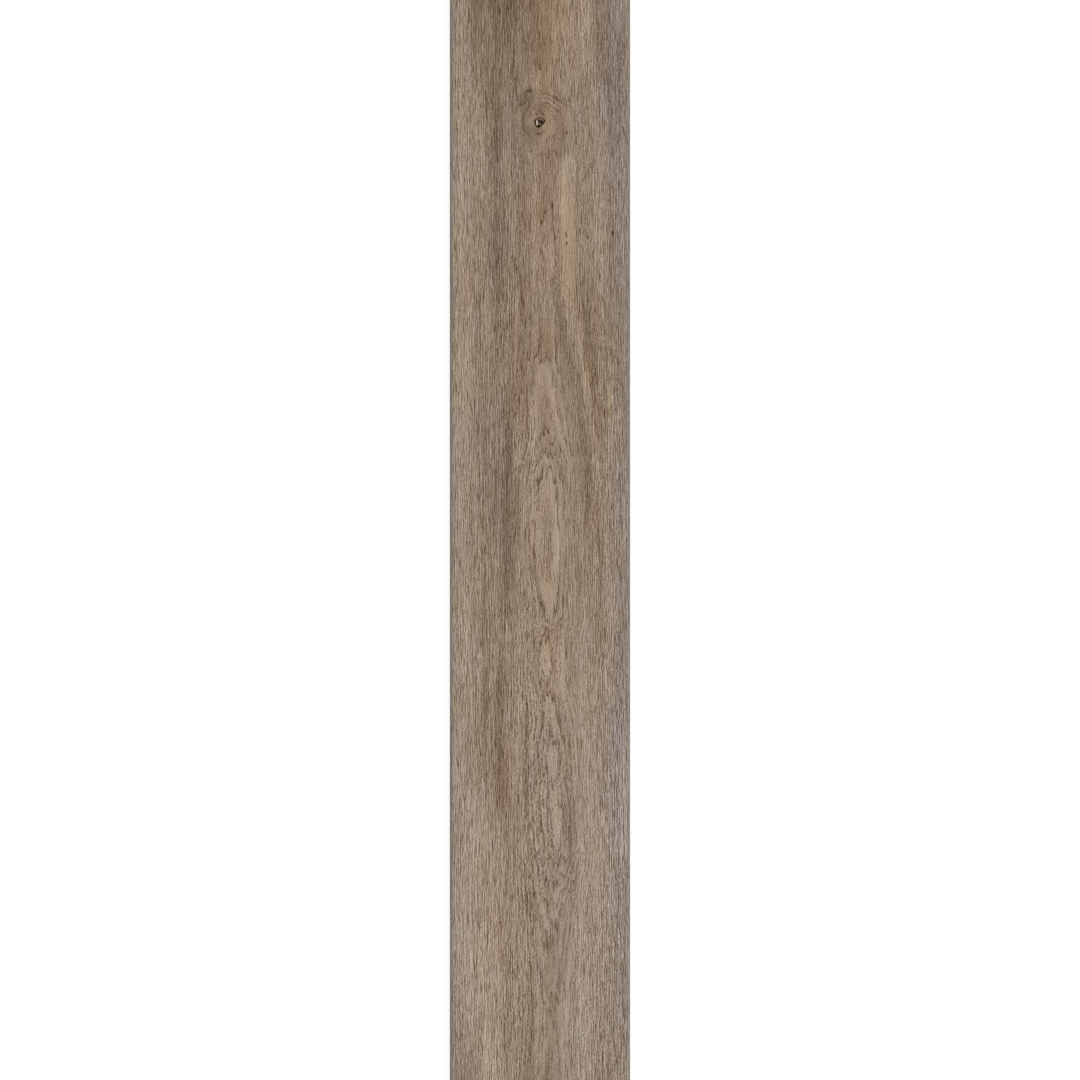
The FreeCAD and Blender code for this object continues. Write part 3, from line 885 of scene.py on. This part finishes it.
def yearly_growth(finish, fibres, heart, eye):
    """Shares of early wood and of late wood, and a tint about nought for each year. The season is the
    fraction of the rings, frayed by noise along the fibres, but less near the heart and the knot."""
    steady_share, early_end, late_start, late_end = 0.75, 0.32, 0.35, 0.8
    fray = finish.layered(fibres, [(1.5, 30.0, 0.7), (0.9, 7.0, 0.4)], seed=1)
    steady = finish.math("MULTIPLY", finish.math("MAXIMUM", heart, eye), steady_share)
    fray = finish.math("MULTIPLY", fray, finish.math("SUBTRACT", 1.0, steady))
    years = finish.math("ADD", finish.value("rings"), fray)
    season = finish.math("FRACT", years)
    tint = finish.add("ShaderNodeTexWhiteNoise", {"W": finish.math("FLOOR", years)}, noise_dimensions="1D")
    tint = finish.math("SUBTRACT", tint.outputs["Value"], 0.5)
    return finish.step(season, 0.0, early_end, 1.0, 0.0), finish.step(season, late_start, late_end), tint


def combed(finish, place, layers, seed):
    """Fine fibres: layered noise, less a little of the same noise one fibre's width to each side, which keeps
    neighbouring fibres apart."""
    fibre, share = 1.1, -0.14
    lines = finish.layered(place, layers, seed)
    for side in (-fibre, fibre):
        beside = finish.vector_math("ADD", place, (side, 0.0, 0.0))[0]
        lines = finish.total(lines, (finish.layered(beside, layers, seed), share))
    return lines


def fibre_lines(finish, fibres, smooth):
    """Fibres in levels of 255: short ones plus a share of long ones, fainter on smooth wood. A little of
    their square comes off, so that dark fibres are stronger than pale ones."""
    smooth_loss, skew = -0.4, -0.0045
    short = combed(finish, fibres, [(0.75, 3.5, 58.0)], seed=12)
    long = combed(finish, fibres, [(0.75, 9.0, 58.0), (0.8, 26.0, 64.0), (0.9, 80.0, 56.0)], seed=13)
    lines = finish.total(short, (long, finish.value("long_share")))
    lines = finish.math("MULTIPLY", lines, finish.value("comb"))
    lines = finish.math("MULTIPLY", lines, finish.math("MULTIPLY_ADD", smooth, smooth_loss, 1.0))
    return finish.math("MULTIPLY", lines, finish.math("MULTIPLY_ADD", lines, skew, 1.0))


def print_level(finish, fibres):
    """Lightness of the print, in levels of 255 from its middle colour: the weighted sum of its parts. Wood is
    smooth in late wood near the heart, round the knot and where calm strokes lie. Pores are steps of long
    noise, and there are more of them in early wood. The dark start of each year shows in patches, near the
    heart and in the eye. Hooks are steps of short noise."""
    eye_smooth, eye_shown, early_pores, smooth_pores, mottle_gain = 0.7, 0.8, 0.14, -0.2, 0.8
    figure_start, plain_start = -26.0, -3.0
    patch_start, patch_end, hook_start, hook_end, pore_start, pore_end = 0.32, 0.54, 0.6, 0.7, 0.56, 0.76
    heart, eye = finish.value("heart"), finish.value("eye")
    early_wood, late_wood, tint = yearly_growth(finish, fibres, heart, eye)
    smooth = finish.math("MULTIPLY", late_wood, heart)
    smooth = finish.math("MAXIMUM", smooth, finish.math("MULTIPLY", eye, eye_smooth))
    smooth = finish.math("MAXIMUM", smooth, finish.value("calm"))

    pores = finish.noise(fibres, (0.85, 15.0, 1.0), 8)
    pores = finish.total(pores, (early_wood, early_pores), (smooth, smooth_pores))
    dots = finish.layered(fibres, [(0.9, 1.8, 28.0)], seed=11)
    mottled = finish.math("MULTIPLY_ADD", finish.value("mottle"), mottle_gain, 1.0)
    shown = finish.math("MAXIMUM", finish.value("figure"), finish.math("MULTIPLY", eye, eye_shown))
    patches = finish.step(finish.noise(fibres, (9.0, 34.0, 1.0), 21), patch_start, patch_end)
    shown = finish.math("MULTIPLY", shown, patches)
    start_level = finish.math("MULTIPLY_ADD", shown, figure_start, plain_start)
    hooks = finish.step(finish.noise(fibres, (2.0, 4.2, 1.0), 25, detail=1.0), hook_start, hook_end)
    parts = {
        "shade": finish.value("shade"),
        "lines": fibre_lines(finish, fibres, smooth),
        "dots": finish.math("MULTIPLY", dots, mottled),
        "streak": finish.layered(fibres, [(7.0, 150.0, 14.0)], seed=7),
        "dark_start": finish.math("MULTIPLY", early_wood, start_level),
        "smooth": smooth,
        "pores": finish.step(pores, pore_start, pore_end),
        "tint": tint,
        "groove": finish.value("groove"),
        "spots": dark_spots(finish),
        "hooks": finish.math("MULTIPLY", hooks, finish.value("hooks")),
    }
    return finish.total(BASE_LEVEL, *[(parts[name], levels) for name, levels in PART_LEVELS.items()])


def tinted(finish, fibres, colour):
    """The colour times a mix of white and tan where warmth is above nought, and of white and grey where it is
    below, in shares of the most warmth. Broad noise adds to the strokes of warmth."""
    base_warmth, most_warmth = 0.7, 16.0
    grey, tan, white = (0.9, 0.977, 1.18, 1), (1.112, 1.027, 0.82, 1), (1.0, 1.0, 1.0, 1)
    clouds = finish.layered(fibres, [(6.0, 60.0, 7.0)], seed=9)
    warmth = finish.total(base_warmth, (finish.value("warmth"), 1.0), (clouds, 1.0))
    cooled = finish.mix(finish.math("MULTIPLY", warmth, -1 / most_warmth), white, grey)
    warmed = finish.mix(finish.math("MULTIPLY", warmth, 1 / most_warmth), white, tan)
    return finish.mix(1.0, finish.mix(1.0, colour, cooled, "MULTIPLY"), warmed, "MULTIPLY")


def with_knot(finish, colours, growth, colour):
    """The colour with the knot over it. The distance from the knot's middle, in radii, is the larger of a
    circle's and of a flat side's to the lower right, made uneven by noise, and the knot ends where it is
    about one. Its rim is brown, but less so at the top, and it has black blots and a pale fleck."""
    scale, circle_share, unevenness, fleck_share = 1 / growth.knot_radius, 0.94, 0.5, 0.9
    rim_start, rim_end, edge_start, edge_end = 0.62, 0.8, 0.92, 1.1
    top_start, top_end, rim_at_top = 0.2, 0.9, 0.2
    middle = (growth.knot_across, growth.knot_along, FACE_HEIGHT)
    offset = finish.vector_math("SUBTRACT", finish.object_place(), middle)[0]
    radii = finish.vector_math("MULTIPLY", offset, (scale, scale, 0.0))[0]
    circle = finish.math("MULTIPLY", finish.vector_math("LENGTH", radii)["Value"], circle_share)
    flat_side = finish.vector_math("DOT_PRODUCT", radii, (1.0, -1.0, 0.0))["Value"]
    noise = finish.layered(radii, [(0.6, 0.6, 0.4)], seed=3)
    distance = finish.total(finish.math("MAXIMUM", circle, flat_side), (noise, unevenness))
    height = finish.add("ShaderNodeSeparateXYZ", {0: radii}).outputs[1]
    below_top = finish.step(height, top_start, top_end, 1.0, rim_at_top)
    rim = finish.math("MULTIPLY", finish.step(distance, rim_start, rim_end), below_top)
    black = 0.0
    for blot in KNOT_BLOTS:
        black = finish.math("MAXIMUM", black, spot(finish, radii, *blot))
    fleck = finish.math("MULTIPLY", spot(finish, radii, *KNOT_FLECK), fleck_share)
    knot = finish.mix(rim, (*colours.dark_grain, 1), (*colours.knot_brown, 1))
    knot = finish.mix(black, knot, (*colours.knot_core, 1))
    knot = finish.mix(fleck, knot, (*colours.fleck, 1))
    return finish.mix(finish.step(distance, edge_start, edge_end, 1.0, 0.0), colour, knot)


def oak_print(colours, growth):
    """The printed, glazed face. A ramp turns the print's level into the oak's colours, warmth tints them, the
    knot lies over them, and the long bevels get a thin grey wash, darker than the print, that is partly
    painted shade of the bevels. The level also gives the roughness, which is least on pale wood, and the
    bump."""
    finish = Finish(bpy.data.materials.new("oak_print_glaze"))
    fibres = finish.vector("fibres")
    half_range, wash_and_shade_share, gloss_gain, dark_roughness = 64.0, 0.6, -0.16, 0.74
    lightness = finish.math("MULTIPLY_ADD", print_level(finish, fibres), 0.5 / half_range, 0.5)
    grains = [colours.pore, colours.dark_grain, colours.mid_grain, colours.pale_grain, colours.fleck]
    colour = tinted(finish, fibres, finish.ramp(lightness, grains))
    colour = with_knot(finish, colours, growth, colour)
    # Painted shade, in part: a grey wash darkens the long bevels
    wash_and_shade = finish.math("MULTIPLY", finish.value("bevel_wash_and_shade"), wash_and_shade_share)
    colour = finish.mix(wash_and_shade, colour, (*colours.bevel_wash_and_shade, 1))
    roughness = finish.math("MULTIPLY_ADD", lightness, gloss_gain, dark_roughness)
    bump = finish.add("ShaderNodeBump", {"Strength": 1.0, "Distance": 0.0003, "Height": lightness})
    return finish.surface({"Base Color": colour, "Roughness": roughness, "Specular IOR Level": 0.1,
                           "Normal": bump.outputs[0]})


def fired_clay(colours):
    """The unglazed body: pale clay with darker grains, cloudy firing marks, and a little of the print's
    brown run over the top of the wall."""
    finish = Finish(bpy.data.materials.new("fired_porcelain_body"))
    place = finish.object_place()
    speck_start, speck_end, cloud_start, cloud_end, most_cloud = 0.60, 0.72, 0.35, 0.75, 0.35
    lip_unevenness, lip_start, lip_end, most_lip = 0.0012, FACE_HEIGHT - 0.0016, FACE_HEIGHT - 0.0008, 0.85
    grain_roughness, smooth_roughness = 0.15, 0.78
    clouds = finish.noise(place, (0.045, 0.07, 0.045), 1, detail=3.0, dimensions="3D")
    grains = finish.noise(place, (0.0011, 0.0011, 0.0011), 2, detail=2.0, dimensions="3D")
    specks = finish.step(grains, speck_start, speck_end)
    colour = finish.mix(specks, (*colours.clay, 1), (*colours.clay_speck, 1))
    cloud_share = finish.step(clouds, cloud_start, cloud_end, 0.0, most_cloud)
    colour = finish.mix(cloud_share, colour, (*colours.clay_speck, 1))
    height = finish.add("ShaderNodeSeparateXYZ", {0: place}).outputs[2]
    runs = finish.noise(place, (0.004, 0.004, 0.5), 3, detail=2.0, dimensions="3D")
    lip = finish.total(height, (runs, lip_unevenness))
    glaze_lip = finish.step(lip, lip_start, lip_end, 0.0, most_lip)
    colour = finish.mix(glaze_lip, colour, (*colours.dark_grain, 1))
    roughness = finish.math("MULTIPLY_ADD", grains, grain_roughness, smooth_roughness)
    bump = finish.add("ShaderNodeBump", {"Strength": 0.5, "Distance": 0.0002, "Height": grains})
    return finish.surface({"Base Color": colour, "Roughness": roughness, "Specular IOR Level": 0.25,
                           "Normal": bump.outputs[0]})


# Studio

def seen_directly(finish):
    """One for rays from the camera, a mirror or a glass, nought for rays that carry light."""
    path = finish.add("ShaderNodeLightPath", {}).outputs
    seen = finish.math("MAXIMUM", path["Is Camera Ray"], path["Is Glossy Ray"])
    return finish.math("MAXIMUM", seen, path["Is Transmission Ray"])


def floor_finish(studio):
    """A white floor: part of its white takes light and shadow, and the rest shows only to the camera."""
    finish = Finish(bpy.data.materials.new("white_floor"))
    shade, white = studio.floor_shade, 1.03
    matte = finish.add("ShaderNodeBsdfDiffuse", {"Color": (shade, shade, shade, 1)})
    fill = finish.math("MULTIPLY", seen_directly(finish), white - shade)
    glow = finish.add("ShaderNodeEmission", {"Color": (1, 1, 1, 1), "Strength": fill})
    both = finish.add("ShaderNodeAddShader", {0: matte.outputs[0], 1: glow.outputs[0]})
    finish.add("ShaderNodeOutputMaterial", {"Surface": both.outputs[0]})
    return finish.owner


def lay_floor(studio):
    """A square sheet: the unit square's corners, scaled to the floor's size, just under the plank."""
    below = 0.00005
    corners = np.array([(-1, -1), (1, -1), (1, 1), (-1, 1)]) * studio.floor_size / 2
    mesh = bpy.data.meshes.new("studio_floor")
    mesh.from_pydata([(x, y, -below) for x, y in corners], [], [(0, 1, 2, 3)])
    mesh.materials.append(floor_finish(studio))
    return link(bpy.data.objects.new("studio_floor", mesh))


def light_world(studio):
    """An even dome that gives the light which the key leaves, and shows as white."""
    world = bpy.data.worlds.new("studio_dome")
    bpy.context.scene.world = world
    finish = Finish(world)
    dome = 1 - studio.key_share
    strength = finish.math("MULTIPLY_ADD", seen_directly(finish), 1 - dome, dome)
    background = finish.add("ShaderNodeBackground", {"Color": (1, 1, 1, 1), "Strength": strength})
    finish.add("ShaderNodeOutputWorld", {"Surface": background.outputs[0]})


def hang_key(studio):
    """A broad lamp to the plank's right. Its strength lights the level face with the key's share of one."""
    data = bpy.data.lights.new("key_light", "SUN")
    data.energy = math.pi * studio.key_share / math.sin(studio.key_height)
    data.angle = studio.key_spread
    lamp = link(bpy.data.objects.new("key_light", data))
    lamp.rotation_euler = (0, math.pi / 2 - studio.key_height, 0)


def set_camera(studio):
    """Straight above the face, head end up, as far off as fits the plank's length into the square frame."""
    data = bpy.data.cameras.new("camera")
    data.lens = studio.lens
    camera = link(bpy.data.objects.new("camera", data))
    framed_share = 0.998
    framed = framed_share * 2 * HALF_LENGTH
    camera.location = (0, 0, FACE_HEIGHT + framed * data.lens / data.sensor_width)
    bpy.context.scene.camera = camera


def link(thing):
    """Puts a new object into the scene."""
    bpy.context.scene.collection.objects.link(thing)
    return thing


# Add-on

class PLANK_OT_make_plank(Operator):
    """Press the plank, with its grain, bevels and keyed back, and print the oak on its face"""

    bl_idname = "plank.make_plank"
    bl_label = "Make Plank"

    def execute(self, context):
        scene = context.scene
        mesh = plank_mesh(scene.plank_sizes, scene.oak_growth)
        mesh.materials.append(oak_print(scene.plank_colours, scene.oak_growth))
        mesh.materials.append(fired_clay(scene.plank_colours))
        plank = link(bpy.data.objects.new("grained_plank", mesh))
        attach(plank, "root")
        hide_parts(PLANK_NODE)
        return {"FINISHED"}


class PLANK_OT_set_studio(Operator):
    """Lay a white floor, light it softly and set the camera above the plank"""

    bl_idname = "plank.set_studio"
    bl_label = "Set Studio"

    def execute(self, context):
        studio = context.scene.plank_studio
        lay_floor(studio)
        light_world(studio)
        hang_key(studio)
        set_camera(studio)
        context.scene.view_settings.view_transform = "Standard"
        return {"FINISHED"}


class PLANK_PT_panel(Panel):
    """Lists the plank's settings and the steps that make it"""

    bl_idname = "PLANK_PT_panel"
    bl_label = "Plank Tile"
    bl_space_type = "VIEW_3D"
    bl_region_type = "UI"
    bl_category = "Plank Tile"

    def draw(self, context):
        for name in SETTINGS:
            group = getattr(context.scene, name)
            box = self.layout.box()
            for setting in group.__annotations__:
                box.prop(group, setting)
        for step in STEPS:
            self.layout.operator(step.bl_idname)


SETTINGS = {
    "plank_sizes": PlankSizes,
    "oak_growth": OakGrowth,
    "plank_colours": PlankColours,
    "plank_studio": StudioSettings,
}
STEPS = [PLANK_OT_make_plank, PLANK_OT_set_studio]
CLASSES = [*SETTINGS.values(), *STEPS, PLANK_PT_panel]


def register():
    """Registers the classes and gives the scene each group of settings."""
    for part in CLASSES:
        bpy.utils.register_class(part)
    for name, group in SETTINGS.items():
        setattr(bpy.types.Scene, name, PointerProperty(type=group))


def unregister():
    """Takes back what register does, in reverse."""
    for name in SETTINGS:
        delattr(bpy.types.Scene, name)
    for part in reversed(CLASSES):
        bpy.utils.unregister_class(part)


def main():
    """Makes the plank and its studio."""
    register()
    bpy.ops.plank.make_plank()
    bpy.ops.plank.set_studio()


if __name__ == "__main__":
    main()
